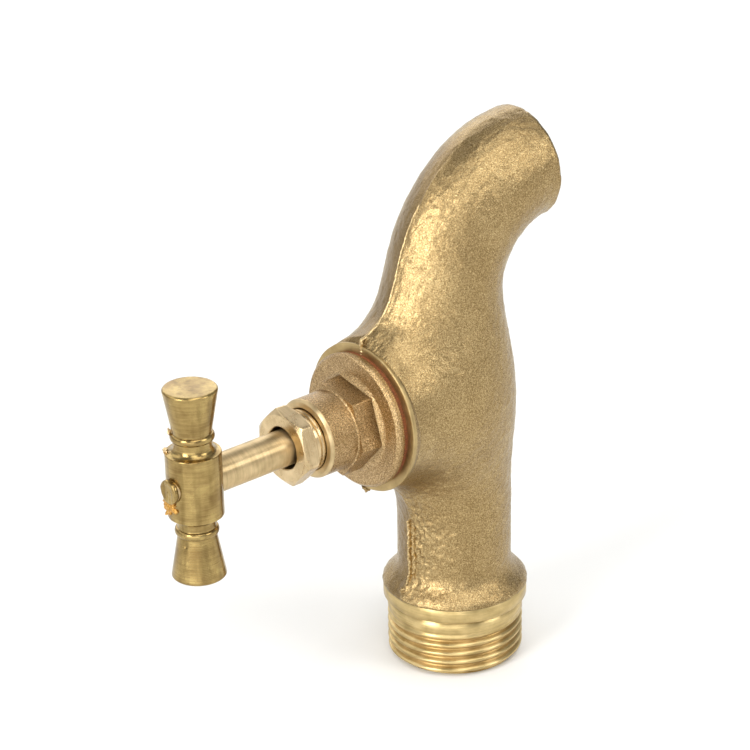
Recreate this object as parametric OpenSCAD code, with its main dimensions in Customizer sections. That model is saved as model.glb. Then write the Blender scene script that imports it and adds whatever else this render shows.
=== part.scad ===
/* [Inlet] */
// Outside diameter of the inlet thread
inlet_thread_d = 26.4; // [25.6:0.2:27.2]
// Height of the inlet thread, from the open end to the collar
inlet_thread_h = 12; // [10:0.5:14]
// Chamfer at the open end of the inlet thread
inlet_chamfer = 1; // [0.6:0.1:1.4]
// Bore of the inlet
inlet_bore_d = 17; // [14:0.5:18]
// Outside diameter of the turned collar
collar_d = 28; // [27.6:0.2:29]
// Height of the turned band of the collar
collar_band_h = 2.9; // [2.2:0.1:3.6]
// Diameter of the rough shoulder where it meets the turned band
shoulder_d = 28.3; // [28:0.1:29]
// Height of the shoulder that leads from the collar to the inlet pipe
shoulder_h = 5.5; // [5:0.1:6.2]

/* [Casting] */
// Outside diameter of the inlet pipe
pipe_d = 21.9; // [21.2:0.1:22.4]
// Front to back thickness of the casting where the valve sits
valve_d = 21.8; // [21.2:0.1:22.6]
// Front to back thickness of the spout where it leaves the valve
throat_d = 21.1; // [20.4:0.1:22]
// Front to back thickness of the spout in its bend
bend_d = 20.9; // [20.2:0.1:22]
// Outside diameter of the spout at its mouth
mouth_d = 21.3; // [20.6:0.1:22]
// Height of the parting ridge on the boss
ridge_h = 0.5; // [0.3:0.1:0.7]
// Half width of the parting ridge on the boss
ridge_w = 3; // [2:0.5:4]

/* [Valve boss] */
// Height of the spindle axis above the inlet's open end
valve_h = 56.5; // [55:0.5:58]
// Outside diameter of the faced boss
boss_d = 28.6; // [28:0.2:29.4]
// Distance of the boss face from the inlet axis
boss_reach = 23; // [22:0.5:24]
// Diameter of the bore that takes the bonnet's thread
boss_bore_d = 21.4; // [20.6:0.2:22]
// Length of that threaded bore
boss_bore_l = 9.8; // [9:0.2:10.4]
// Diameter of the chamber behind the threaded bore
chamber_d = 22; // [21.6:0.2:22.4]
// Softness of the blend between boss, pipe and spout
boss_blend = 15; // [13:0.5:16]

/* [Seat] */
// Distance of the seat face from the inlet axis
seat_reach = 6; // [5.4:0.2:6.4]
// Height of the seat's ring above the chamber floor
seat_rise = 2; // [1.6:0.2:2.4]
// Bore of the seat
seat_bore_d = 12; // [11:0.5:12.5]
// Width of the seat's ring
seat_land = 1.8; // [1.4:0.1:2]
// Thickness of the wall that carries the seat
seat_wall = 4.5; // [4:0.1:4.8]

/* [Spout] */
// How far the spout leans towards the boss where its bend starts
spout_lean = 2.3; // [1.6:0.1:2.8]
// Height above the spindle axis where the bend starts
bend_start = 20; // [19:0.5:21]
// Length of the bend's upward handle
bend_rise = 9; // [8:0.5:10]
// Length of the bend's outward handle
bend_run = 10.5; // [9.5:0.5:11.5]
// Distance of the mouth's centre from the inlet axis
mouth_reach = 16.9; // [16:0.1:18]
// Height of the mouth's centre above the spindle axis
mouth_h = 39.9; // [39:0.1:41]
// Upward tilt of the mouth
mouth_tilt = 4; // [0:1:8]
// Bore of the spout's passage
spout_bore_d = 15; // [14:0.2:15.6]
// Bore of the turned mouth
mouth_bore_d = 16.4; // [16:0.2:17]
// Depth of the turned mouth
mouth_bore_l = 5; // [4:0.5:6]

/* [Bonnet] */
// Outside diameter of the bonnet's flange
flange_d = 25.6; // [25:0.2:26.4]
// Thickness of the flange
flange_t = 1.6; // [1.3:0.1:2]
// Outside diameter of the gasket under the flange
gasket_d = 25.2; // [24.4:0.2:25.4]
// Thickness of the gasket
gasket_t = 0.8; // [0.6:0.1:1]
// Hexagon of the bonnet across its flats
bonnet_flats = 15.5; // [15.2:0.1:16]
// Height of the bonnet's hexagon
bonnet_hex_h = 4.8; // [4.2:0.2:5.4]
// Turn of the bonnet's hexagon about the spindle
bonnet_turn = 18; // [0:1:60]
// Outside diameter of the bonnet's neck
neck_d = 14.9; // [14.6:0.1:15.2]
// Length of the neck in front of the hexagon
neck_l = 6.3; // [6:0.1:6.8]
// Length of the bonnet's threaded skirt below the gasket
skirt_l = 9.4; // [9:0.2:9.6]
// Diameter of the recess inside the skirt
skirt_bore_d = 18; // [17.8:0.1:18.2]
// Depth of the recess inside the skirt
skirt_bore_l = 3.6; // [3.5:0.1:3.9]
// Height of the shoulder that stops the spindle, from the boss face
stop_rise = 5.3; // [5.2:0.1:5.5]
// Thickness of the web between the spindle's thread and the packing
throat_web = 2.3; // [2:0.1:2.5]

/* [Gland] */
// Thread diameter of the gland nut
gland_d = 11.8; // [11.6:0.1:12]
// Diameter of the packing box
packing_d = 10.4; // [10:0.1:10.8]
// Thickness of one packing ring
packing_t = 1; // [0.8:0.05:1.05]
// Thickness of the brass washer on the packing
gland_washer_t = 0.8; // [0.6:0.1:1]
// Length of the gland nut's threaded shank
gland_shank_l = 4.4; // [4.2:0.1:5]
// Hexagon of the gland nut across its flats
gland_flats = 12.9; // [12.7:0.1:13.3]
// Height of the gland nut's hexagon
gland_hex_h = 3.2; // [2.8:0.1:3.6]
// Hole of the gland nut
gland_hole_d = 7.9; // [7.6:0.1:8.2]
// Turn of the gland nut about the spindle
gland_turn = 16; // [0:1:60]

/* [Spindle] */
// Diameter of the spindle's stem
spindle_d = 6.7; // [6.5:0.1:6.9]
// Diameter of the spindle's thread
spindle_thread_d = 10.8; // [10.4:0.1:11]
// Length of the spindle's thread
spindle_thread_l = 10.6; // [10:0.1:10.8]
// Rise of the spindle in one turn
spindle_lead = 2.5; // [2:0.1:2.5]
// Turns from shut to fully open
spindle_turns = 2.5; // [2:0.25:2.5]
// Diameter of the riveted end that holds the crossbar
tenon_d = 4; // [3.6:0.1:4.4]
// Length by which the riveted end stands out of the crossbar
tenon_out = 1.1; // [0.8:0.1:1.6]

/* [Jumper] */
// Diameter of the jumper's plate
jumper_d = 17.2; // [16.6:0.1:17.3]
// Thickness of the jumper's plate
jumper_t = 1.8; // [1.5:0.1:1.9]
// Diameter of the stem that the spindle carries
jumper_stem_d = 4.8; // [4.4:0.1:5.2]
// Length of that stem
jumper_stem_l = 8; // [7:0.5:9]
// Thickness of the rubber washer
washer_t = 3; // [2.6:0.1:3.2]
// Diameter of the threaded end that holds the washer
washer_pin_d = 3.8; // [3.4:0.1:4.2]
// Hexagon of the washer's nut across its flats
washer_nut_flats = 7; // [6.6:0.1:7.4]
// Thickness of the washer's nut
washer_nut_t = 2.2; // [2:0.1:2.6]

/* [Crossbar] */
// Distance of the crossbar's axis from the inlet axis with the tap shut
bar_reach = 61.6; // [60:0.2:64]
// Length of the crossbar
bar_l = 36.2; // [34:0.2:40]
// Diameter of the crossbar's ends
bar_end_d = 9.8; // [9:0.1:10.4]
// Diameter of the crossbar's hub
hub_d = 10; // [9.6:0.1:10.6]
// Length of the hub between its shoulders
hub_l = 12.1; // [11.4:0.1:12.6]
// Length of each hollow shoulder of the hub
hub_shoulder_l = 1.4; // [1.1:0.1:1.7]
// Diameter of the crossbar's narrow necks
bar_neck_d = 6.9; // [6.6:0.1:7.2]
// Length of each narrow neck between shoulder and bead
bar_neck_l = 0.9; // [0.6:0.1:1.2]
// Diameter of the beads beside the hub
bead_d = 7.9; // [7.6:0.1:8.2]
// Width of each bead
bead_w = 1.4; // [1.1:0.1:1.6]

/* [Hidden] */
$fn = 96;
packing_count = 3;

// Named clearances and one overrun for all cuts
run_gap = 0.06;
thread_gap = 0.05;
loose_gap = 0.1;
cut = 1;
// How far lofted skin keeps behind the turned surfaces that cover it
cast_allowance = 0.1;

// The casting's path starts inside the shoulder
cast_start_share = 0.16;
cast_start = inlet_thread_h + collar_band_h + shoulder_h * cast_start_share;
bend_h = valve_h + bend_start;
lean_start = valve_h - chamber_d;
pipe_end_share = 0.85;
pipe_end = valve_h - chamber_d * pipe_end_share;
mouth_z = valve_h + mouth_h;
// Height of a ring of the casting, as a share of the riser, and past 1 as a share of the bend
pipe_share = (pipe_end - cast_start) / (bend_h - cast_start);
valve_share = (valve_h - cast_start) / (bend_h - cast_start);
ring_shares = [0, pipe_share, valve_share, 1, 1.45, 2];
ring_radii = [pipe_d, pipe_d, valve_d, throat_d, bend_d, mouth_d] / 2;
keel_shares = [0.14, 0.14, 0.12, 0.15, 0.15, 0.04];
breadth_shares = [1, 1, 1, 1.05, 1.04, 1.05];
// Rings and sides of the casting, closer together at the boss
riser_rings = 34;
bend_rings = 14;
cast_sides = 48;
side_crowding = 17;
// The boss starts behind the inlet axis and flares towards its face
rod_start_share = 0.39;
boss_root_share = 0.86;
boss_flare_share = 0.98;

function smooth(a) = a * a * (3 - 2 * a);
function ramp(x, low, high) = smooth(min(1, max(0, (x - low) / (high - low))));
function between(x, places, values, i = 0) =
    i >= len(places) - 2 || x <= places[i + 1]
        ? values[i] + (values[i + 1] - values[i]) * ramp(x, places[i], places[i + 1])
        : between(x, places, values, i + 1);

// Centre line of the casting in its plane of symmetry: a leaning riser, then one cubic curve
bend_points = [[-spout_lean, bend_h], [-spout_lean, bend_h + bend_rise],
               [mouth_reach - bend_run * cos(mouth_tilt), mouth_z - bend_run * sin(mouth_tilt)],
               [mouth_reach, mouth_z]];
function bezier(b, t) = pow(1 - t, 3) * b[0] + 3 * pow(1 - t, 2) * t * b[1]
    + 3 * (1 - t) * t * t * b[2] + pow(t, 3) * b[3];
function bezier_way(b, t) = pow(1 - t, 2) * (b[1] - b[0]) + 2 * (1 - t) * t * (b[2] - b[1])
    + t * t * (b[3] - b[2]);
function riser_z(q) = cast_start + (bend_h - cast_start) * q;
function centre(q) = q < 1
    ? [-spout_lean * ramp(riser_z(q), lean_start, bend_h), riser_z(q)]
    : bezier(bend_points, q - 1);
function way(q) = q <= 1 ? [0, 1] : let (d = bezier_way(bend_points, q - 1)) d / norm(d);

// One section of the casting: an oval that rises to a keel at angle 0
function section(q, angle) =
    let (radius = between(q, ring_shares, ring_radii),
         keel = between(q, ring_shares, keel_shares),
         breadth = between(q, ring_shares, breadth_shares))
    radius * [cos(angle) + (cos(angle) > 0 ? keel * (1 - abs(sin(angle))) : 0), breadth * sin(angle)];
function placed(q, uv) = let (c = centre(q), d = way(q))
    [c[0] - d[1] * uv[0], uv[1], c[1] + d[0] * uv[0]];

// The boss core is a flared rod towards -X, and its distance is blended with the section's
function boss_r(reach) = boss_d / 2 * (boss_root_share
    + (boss_flare_share - boss_root_share) * pow(min(1, max(0, reach / boss_reach)), 2));
function boss_gap(p) = norm([max(p[0] + boss_reach * rod_start_share, 0), p[1], p[2] - valve_h])
    - boss_r(-p[0]) - ridge_h * max(0, 1 - abs(p[1]) / ridge_w);
function blended(a, b) = let (h = max(0, boss_blend - abs(a - b)) / boss_blend)
    min(a, b) - h * h * boss_blend / 4;
function skin_gap(q, uv, s) = blended((s - 1) * norm(uv), boss_gap(placed(q, uv * s)));
// Stretch of a section point until it lies on the blended skin, by halving
function stretch(q, uv, low = 1, high = 4, steps = 18) =
    steps == 0 ? low
        : let (middle = (low + high) / 2)
          skin_gap(q, uv, middle) <= 0
            ? stretch(q, uv, middle, high, steps - 1)
            : stretch(q, uv, low, middle, steps - 1);
function faced(q, p) = let (c = centre(q), far = boss_reach - cast_allowance)
    -p[0] > far ? let (s = (far + c[0]) / (c[0] - p[0]))
        [-far, p[1] * s, c[1] + (p[2] - c[1]) * s] : p;
function skin(q, angle) = let (uv = section(q, angle)) faced(q, placed(q, uv * stretch(q, uv)));

function side_angle(i, sides, crowding) = let (a = 360 * i / sides) a - crowding * sin(a);

// A closed skin from rings of points, all with as many points
module lofted(rings) {
    count = len(rings);
    sides = len(rings[0]);
    quads = [for (r = [0:count - 2], i = [0:sides - 1])
        let (j = (i + 1) % sides, low = r * sides, high = low + sides)
        [[low + i, low + j, high + j], [low + i, high + j, high + i]]];
    start = [for (i = [sides - 1:-1:0]) i];
    end = [for (i = [0:sides - 1]) (count - 1) * sides + i];
    polyhedron([for (ring = rings) each ring], [for (pair = quads) each pair, start, end]);
}

casting_q = [for (i = [0:riser_rings - 1]) i / riser_rings,
             for (i = [0:bend_rings]) 1 + i / bend_rings];

module casting_skin() {
    lofted([for (q = casting_q)
        [for (i = [0:cast_sides - 1]) skin(q, side_angle(i, cast_sides, side_crowding))]]);
}

// Waterway of the spout: it rises beside the inlet pocket, then follows the centre line
passage_sides = 24;
passage_rings = 14;
passage_first = 0.92;
passage_last = 1.97;
foot_share = 0.72;
pocket_wall = 2;

module passage() {
    foot_r = spout_bore_d / 2 * foot_share;
    foot = [-foot_r - (seat_reach - seat_rise) + seat_wall - pocket_wall,
            valve_h + seat_bore_d / 2 + seat_land + loose_gap];
    function ring(c, d, r) = [for (i = [0:passage_sides - 1]) let (a = 360 * i / passage_sides)
        [c[0] - d[1] * r * cos(a), r * sin(a), c[1] + d[0] * r * cos(a)]];
    lofted([
        ring(foot, [0, 1], foot_r),
        for (i = [0:passage_rings])
            let (q = passage_first + (passage_last - passage_first) * i / passage_rings)
            ring(centre(q), way(q), spout_bore_d / 2)
    ]);
}

// Turns an upright shape so that it points along -X at the height of the spindle
module on_spindle_axis(reach) {
    translate([-reach, 0, valve_h]) rotate([0, -90, 0]) children();
}

module hexagon(flats, height) {
    cylinder(d = flats / cos(30), h = height, $fn = 6);
}

// A hexagon whose corners are turned off at the front
hex_front_share = 0.98;
hex_slope_share = 0.15;
module chamfered_hexagon(flats, height) {
    front_r = flats / 2 * hex_front_share;
    slope = flats * hex_slope_share;
    intersection() {
        hexagon(flats, height);
        union() {
            cylinder(r = front_r + slope, h = height - slope);
            translate([0, 0, height - slope]) cylinder(r1 = front_r + slope, r2 = front_r, h = slope);
        }
    }
}

module ring(outer_d, inner_d, height) {
    difference() {
        cylinder(d = outer_d, h = height);
        translate([0, 0, -cut]) cylinder(d = inner_d, h = height + 2 * cut);
    }
}

// Inlet end of the casting: thread and band are turned, the shoulder above them is rough
shoulder_steps = 12;
module inlet_end() {
    thread_r = inlet_thread_d / 2;
    collar_r = collar_d / 2;
    pipe_r = pipe_d / 2 - cast_allowance;
    band_top = inlet_thread_h + collar_band_h;
    rotate_extrude() polygon([
        [0, 0], [thread_r - inlet_chamfer, 0], [thread_r, inlet_chamfer],
        [thread_r, inlet_thread_h], [collar_r, inlet_thread_h], [collar_r, band_top],
        for (i = [0:shoulder_steps]) let (a = i / shoulder_steps)
            [shoulder_d / 2 + (pipe_r - shoulder_d / 2) * smooth(a), band_top + shoulder_h * a],
        [0, band_top + shoulder_h]
    ]);
}

// Inlet bore with the pocket that feeds the seat from behind
module inlet_way() {
    bore_top = valve_h - chamber_d / 2 - pocket_wall;
    seat_top = valve_h + seat_bore_d / 2;
    back = seat_wall - (seat_reach - seat_rise);
    translate([0, 0, -cut]) cylinder(d = inlet_bore_d, h = bore_top + cut);
    intersection() {
        cylinder(d = inlet_bore_d, h = seat_top);
        translate([back, -inlet_bore_d, 0]) cube([inlet_bore_d, 2 * inlet_bore_d, seat_top + cut]);
    }
    on_spindle_axis(-back - cut) cylinder(d = seat_bore_d, h = back + cut + seat_reach + cut);
}

// Chamber in front of the seat, and the threaded bore for the bonnet
module valve_chamber() {
    floor_reach = seat_reach - seat_rise;
    on_spindle_axis(floor_reach) difference() {
        cylinder(d = chamber_d, h = boss_reach - boss_bore_l - floor_reach);
        translate([0, 0, -cut]) cylinder(d = seat_bore_d + 2 * seat_land, h = seat_rise + cut);
    }
    on_spindle_axis(floor_reach + seat_rise)
        cylinder(d = boss_bore_d, h = boss_reach - seat_reach + cut);
}

// Rim of the boss, which the lathe faced
rim_h = 1.2;
rim_flare_h = 3;
rim_flare_share = 0.9;
module boss_rim() {
    on_spindle_axis(boss_reach - rim_h) cylinder(d = boss_d, h = rim_h);
    on_spindle_axis(boss_reach - rim_h - rim_flare_h)
        cylinder(d1 = boss_d * rim_flare_share, d2 = boss_d, h = rim_flare_h);
}

module mouth_bore() {
    translate([mouth_reach, 0, mouth_z]) rotate([0, 90 - mouth_tilt, 0])
        translate([0, 0, -mouth_bore_l]) cylinder(d = mouth_bore_d, h = mouth_bore_l + cut);
}

module body() {
    color("#bf9f63") difference() {
        union() {
            casting_skin();
            inlet_end();
            boss_rim();
        }
        inlet_way();
        valve_chamber();
        passage();
        mouth_bore();
    }
}

module bonnet_gasket() {
    color("#7d3b22") on_spindle_axis(boss_reach)
        ring(gasket_d, boss_bore_d - 2 * thread_gap, gasket_t);
}

// Height above the boss face where the gland's thread begins, and where its parts sit
packing_foot = stop_rise + throat_web;
gland_seat = packing_foot + packing_count * packing_t + thread_gap;
nut_foot = packing_foot + packing_count * packing_t + gland_washer_t;

neck_chamfer_share = 0.17;
module bonnet() {
    flange_foot = gasket_t;
    hex_foot = flange_foot + flange_t;
    neck_foot = hex_foot + bonnet_hex_h;
    neck_top = neck_foot + neck_l;
    neck_chamfer = (neck_d - gland_d) * neck_chamfer_share;
    stem_r = spindle_d / 2 + run_gap;
    thread_r = spindle_thread_d / 2 + run_gap;
    color("#b8955a") on_spindle_axis(boss_reach) difference() {
        union() {
            translate([0, 0, -skirt_l]) cylinder(d = boss_bore_d - 2 * thread_gap, h = skirt_l + flange_foot);
            translate([0, 0, flange_foot]) cylinder(d = flange_d, h = flange_t);
            translate([0, 0, hex_foot]) rotate([0, 0, bonnet_turn]) hexagon(bonnet_flats, bonnet_hex_h);
            translate([0, 0, hex_foot]) cylinder(d = neck_d, h = bonnet_hex_h + neck_l - neck_chamfer);
            translate([0, 0, neck_top - neck_chamfer])
                cylinder(d1 = neck_d, d2 = neck_d - 2 * neck_chamfer, h = neck_chamfer);
        }
        translate([0, 0, -skirt_l - cut]) cylinder(d = skirt_bore_d, h = skirt_bore_l + cut);
        translate([0, 0, -skirt_l - cut]) cylinder(r = thread_r, h = skirt_l + stop_rise + cut);
        cylinder(r = stem_r, h = neck_top);
        translate([0, 0, packing_foot]) cylinder(d = packing_d, h = neck_top);
        translate([0, 0, gland_seat]) cylinder(d = gland_d + 2 * thread_gap, h = neck_top);
    }
}

module packing_ring(i) {
    color("#4a4a46") on_spindle_axis(boss_reach + packing_foot + i * packing_t)
        ring(packing_d - 2 * thread_gap, spindle_d + 2 * run_gap, packing_t);
}

module gland_washer() {
    color("#c9a45c") on_spindle_axis(boss_reach + nut_foot - gland_washer_t)
        ring(packing_d - 2 * thread_gap, spindle_d + 2 * loose_gap, gland_washer_t);
}

module gland_nut() {
    color("#cfae6a") on_spindle_axis(boss_reach + nut_foot) difference() {
        union() {
            cylinder(d = gland_d, h = gland_shank_l + gland_hex_h / 2);
            translate([0, 0, gland_shank_l]) rotate([0, 0, gland_turn])
                chamfered_hexagon(gland_flats, gland_hex_h);
        }
        translate([0, 0, -cut]) cylinder(d = gland_hole_d, h = gland_shank_l + gland_hex_h + 2 * cut);
    }
}

// Spindle: threaded foot with a socket for the jumper, stem, and the end riveted through the crossbar
spindle_foot = seat_reach + washer_t + jumper_t + thread_gap;
hub_seat = 0.5;
shoulder_reach = bar_reach - sqrt(pow(hub_d / 2, 2) - pow(spindle_d / 2, 2)) + hub_seat;
tenon_end = bar_reach + hub_d / 2 + tenon_out;
module spindle() {
    color("#d8bc7c") difference() {
        union() {
            on_spindle_axis(spindle_foot) cylinder(d = spindle_thread_d, h = spindle_thread_l);
            on_spindle_axis(spindle_foot) cylinder(d = spindle_d, h = shoulder_reach - spindle_foot);
            on_spindle_axis(spindle_foot) cylinder(d = tenon_d, h = tenon_end - spindle_foot);
        }
        on_spindle_axis(spindle_foot - cut)
            cylinder(d = jumper_stem_d + 2 * run_gap, h = jumper_stem_l + 2 * cut);
    }
}

// Turned crossbar: its outline goes from the hub over a hollow shoulder, neck, round bead and cone
// to one end, and mirrored to the other
shoulder_cuts = 5;
bead_cuts = 6;
end_chamfer_share = 0.03;
module crossbar() {
    hub_top = hub_l / 2;
    neck_r = bar_neck_d / 2;
    neck_top = hub_top + hub_shoulder_l + bar_neck_l;
    end_chamfer = bar_end_d * end_chamfer_share;
    half = [
        for (i = [0:shoulder_cuts]) let (a = 90 * i / shoulder_cuts)
            [neck_r + (hub_d / 2 - neck_r) * (1 - sin(a)), hub_top + hub_shoulder_l * (1 - cos(a))],
        for (i = [0:bead_cuts]) let (a = 180 * i / bead_cuts)
            [neck_r + (bead_d / 2 - neck_r) * sin(a), neck_top + bead_w / 2 * (1 - cos(a))],
        [bar_end_d / 2, bar_l / 2 - end_chamfer],
        [bar_end_d / 2 - end_chamfer, bar_l / 2]
    ];
    outline = [[0, -bar_l / 2], for (i = [len(half) - 1:-1:0]) [half[i][0], -half[i][1]],
               each half, [0, bar_l / 2]];
    hub_foot = bar_reach - hub_d;
    color("#c8a862") difference() {
        translate([-bar_reach, 0, valve_h]) rotate_extrude() polygon(outline);
        on_spindle_axis(hub_foot) cylinder(d = spindle_d + 2 * thread_gap, h = shoulder_reach - hub_foot);
        on_spindle_axis(hub_foot) cylinder(d = tenon_d + 2 * thread_gap, h = tenon_end - hub_foot);
    }
}

// Jumper: plate, upper stem in the spindle, lower pin through washer and nut
module jumper() {
    plate_reach = seat_reach + washer_t;
    color("#c2a05a") {
        on_spindle_axis(plate_reach) cylinder(d = jumper_d, h = jumper_t);
        on_spindle_axis(plate_reach) cylinder(d = jumper_stem_d, h = jumper_t + jumper_stem_l);
        on_spindle_axis(plate_reach - washer_t - washer_nut_t)
            cylinder(d = washer_pin_d, h = washer_t + washer_nut_t + jumper_t);
    }
}

module jumper_washer() {
    color("#2b2b2b") on_spindle_axis(seat_reach) ring(jumper_d, washer_pin_d + 2 * thread_gap, washer_t);
}

module jumper_nut() {
    color("#cfae6a") on_spindle_axis(seat_reach - washer_nut_t) difference() {
        hexagon(washer_nut_flats, washer_nut_t);
        translate([0, 0, -cut]) cylinder(d = washer_pin_d + 2 * thread_gap, h = washer_nut_t + 2 * cut);
    }
}

body();
bonnet_gasket();
bonnet();
for (i = [0:packing_count - 1]) {
    packing_ring(i);
}
gland_washer();
gland_nut();
spindle();
crossbar();
jumper();
jumper_washer();
jumper_nut();
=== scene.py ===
import bpy
import numpy as np
from mathutils import Matrix, Vector


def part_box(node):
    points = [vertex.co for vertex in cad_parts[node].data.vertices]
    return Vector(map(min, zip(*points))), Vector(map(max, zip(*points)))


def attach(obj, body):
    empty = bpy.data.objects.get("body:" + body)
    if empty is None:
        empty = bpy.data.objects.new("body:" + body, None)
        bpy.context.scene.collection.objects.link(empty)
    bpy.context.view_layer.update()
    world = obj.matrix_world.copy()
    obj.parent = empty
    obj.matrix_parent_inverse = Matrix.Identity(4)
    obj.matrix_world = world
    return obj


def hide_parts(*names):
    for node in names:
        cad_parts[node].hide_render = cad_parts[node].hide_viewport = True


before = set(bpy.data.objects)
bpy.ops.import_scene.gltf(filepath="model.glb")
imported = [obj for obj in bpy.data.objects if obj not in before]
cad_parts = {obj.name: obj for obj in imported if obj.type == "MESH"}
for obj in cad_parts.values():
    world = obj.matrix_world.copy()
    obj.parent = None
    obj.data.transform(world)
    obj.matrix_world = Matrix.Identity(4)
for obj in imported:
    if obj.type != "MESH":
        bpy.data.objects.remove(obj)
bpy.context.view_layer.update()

# Shapes are worked out in millimetres and turned to metres when they become a mesh
MM = 0.001


def span(node):
    """Lowest and highest corner of a CAD node, in millimetres."""
    low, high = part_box(node)
    return np.array(low) / MM, np.array(high) / MM


# Places taken from the frame: heights along Z, and reaches from the inlet's axis along -X
body_low, _ = span("body")
bonnet_low, bonnet_high = span("bonnet")
gland_low, gland_high = span("gland_nut")
spindle_low, spindle_high = span("spindle")
bar_low, bar_high = span("crossbar")
VALVE_H = (spindle_low[2] + spindle_high[2]) / 2
BOSS_REACH = -body_low[0]
BAR_REACH = -(bar_low[0] + bar_high[0]) / 2
BAR_HALF = (bar_high[2] - bar_low[2]) / 2
FLANGE_R = (bonnet_high[1] - bonnet_low[1]) / 2
NECK_FRONT = -bonnet_low[0]
SHANK_BACK = -gland_high[0]
NUT_FRONT = -gland_low[0]
SPINDLE_FOOT = -spindle_high[0]
TENON_END = -spindle_low[0]

# Casting: the path, sections and boss of the solid model, with a lower keel on the pipe
PATH_FOOT = 15.8
BEND_FOOT = VALVE_H + 20
PATH_RISE = BEND_FOOT - PATH_FOOT
LEAN = 2.3
LEAN_FOOT = VALVE_H - 22
MOUTH = np.array([16.9, VALVE_H + 39.9])
MOUTH_TILT = np.radians(4)
BEND_RISE = 9.0
BEND_RUN = 10.5
# Sections at places along the path: their radius, and as shares of it, how far the keel stands
# out and how broad the section is
SECTION_PLACES = np.array([0, (VALVE_H - 18.7 - PATH_FOOT) / PATH_RISE,
                           (VALVE_H - PATH_FOOT) / PATH_RISE, 1, 1.45, 2])
SECTION_RADII = np.array([10.95, 10.95, 10.9, 10.55, 10.45, 10.65])
KEEL_SHARES = np.array([0.03, 0.05, 0.12, 0.15, 0.15, 0.04])
BREADTH_SHARES = np.array([1, 1, 1, 1.05, 1.04, 1.05])
# The keel's crest is softened towards the mouth, from one place over a run
CREST_SOFT = 0.16
CREST_SOFT_FROM = 1.15
CREST_SOFT_RUN = 0.35
# The pipe flares to a shoulder on the collar
SHOULDER_R = 14.15
SHOULDER_H = 2.65
# The boss is a rod that widens to its front, with a low ridge above and below
BOSS_BLEND = 15.0
BOSS_ROOT_R = 12.3
BOSS_FRONT_R = 14.0
BOSS_FRONT_GAP = 0.15
ROD_START = -9.0
RIDGE_H = 0.5
RIDGE_W = 3.0
FLANK_SUNK = 0.14
FLANK_Y = 12.0
CASTING_COLS = 256

# Casting: waterways
MOUTH_BORE_R = 8.2
MOUTH_BORE_L = 5.0
PASSAGE_R = 7.5
PASSAGE_LOW = VALVE_H + 14
VALVE_BORE_R = 10.7
VALVE_BORE_L = 17.2
SEAT_LOW = VALVE_H - 13
BEHIND_SEAT_R = 3.6
INLET_BORE_R = 8.5

# Casting: what the mould left on its skin
# Heights, sizes and seeds of the skin's random lumps
SKIN_LUMPS = [(0.07, 0.7, 1), (0.045, 1.7, 2), (0.035, 5.0, 3)]
PITS = np.array([[-22.2, -13.9, 56.1], [0.0, -7.8, 97.1], [-1.2, -9.2, 94.8]])
PIT_R = 0.35
PIT_DEPTH = 0.35
# The step at the seam, and the wrinkles beside it, low on the pipe and lighter on the spout
SEAM_H = 0.34
SEAM_STEP_W = 0.5
SEAM_FADE = 3.5
SEAM_TOP = VALVE_H + 47
WRINKLE_H = 0.22
WRINKLE_W = 9.0
WRINKLE_Z = 28.0
WRINKLE_RISE = 9.0
SPOUT_WRINKLE_Z = VALVE_H + 10
SPOUT_WRINKLE_SHARE = 0.15
# Where the seam ends in a crumb
CRUMB_H = 0.5
CRUMB_Y = 0.2
CRUMB_Z = 17.2
# The torn flash: FIN_LUMP_RUN is how far its lumps run for 1 of q, and FIN_ANGLE_R the radius at
# which a place across becomes an angle
FIN_HALF_W = 0.24
FIN_FOOT = 0.16
FIN_WANDER = 0.09
FIN_LUMP_RUN = 90.0
FIN_ANGLE_R = 11.5

# Faced ring of the boss
BOSS_R = 14.3
RING_L = 4.2
RING_SIDE_L = 0.8
RING_ROOT_R = 11.5

# Inlet end: heights above its open end
THREAD_R = 13.2
THREAD_PITCH = 1.814
THREAD_DEPTH = 0.85
THREAD_END = 12.0
THREAD_TOP = THREAD_END - 3.2
THREAD_STEP = 0.12
LEAD_IN_R = 1.0
LEAD_IN_H = 0.9
UNDERCUT = 0.5
# Faces deeper than this share of the thread, and not beyond this reach, are the groove's bottom,
# which gets painted shade
GROOVE_SHARE = 0.45
GROOVE_REACH = 1.2
COLLAR_R = 14.0
BAND_TOP = 14.9

# Bonnet: reaches of its steps, radii and widths
SKIRT_BACK = BOSS_REACH - 9.38
SKIRT_FLOOR = BOSS_REACH - 5.8
SKIRT_R = 10.6
SKIRT_BORE_R = 9.0
SCREW_BORE_R = 5.46
STEM_BORE_R = 3.42
PACKING_BORE_R = 5.2
GLAND_BORE_R = 5.95
STEM_STOP = BOSS_REACH + 5.3
PACKING_FOOT = STEM_STOP + 2.3
GLAND_SEAT = PACKING_FOOT + 3.05
FLANGE_BACK = BOSS_REACH + 0.8
FLANGE_FRONT = FLANGE_BACK + 1.6
BONNET_HEX_FRONT = FLANGE_FRONT + 4.8
BONNET_FLATS = 15.5
BONNET_HEX_R = 8.92
BONNET_TURN = np.radians(42)
BONNET_NECK_R = 7.45
TURNED_MOUTH = NECK_FRONT - 0.75

# Gland nut
NUT_HEX_BACK = NUT_FRONT - 3.2
NUT_FLATS = 12.9
NUT_HEX_R = 7.4
NUT_TURN = np.radians(44)
NUT_BORE_R = 3.95
SHANK_R = 5.86
SHANK_PITCH = 1.0
SHANK_DEPTH = 0.16

# Spindle
SCREW_R = 5.4
SCREW_L = 10.6
SOCKET_R = 2.46
SOCKET_L = 8.0
STEM_R = 3.35
STEM_END = 58.3
TENON_R = 2.0
HAMMERED_L = 1.4

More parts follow.
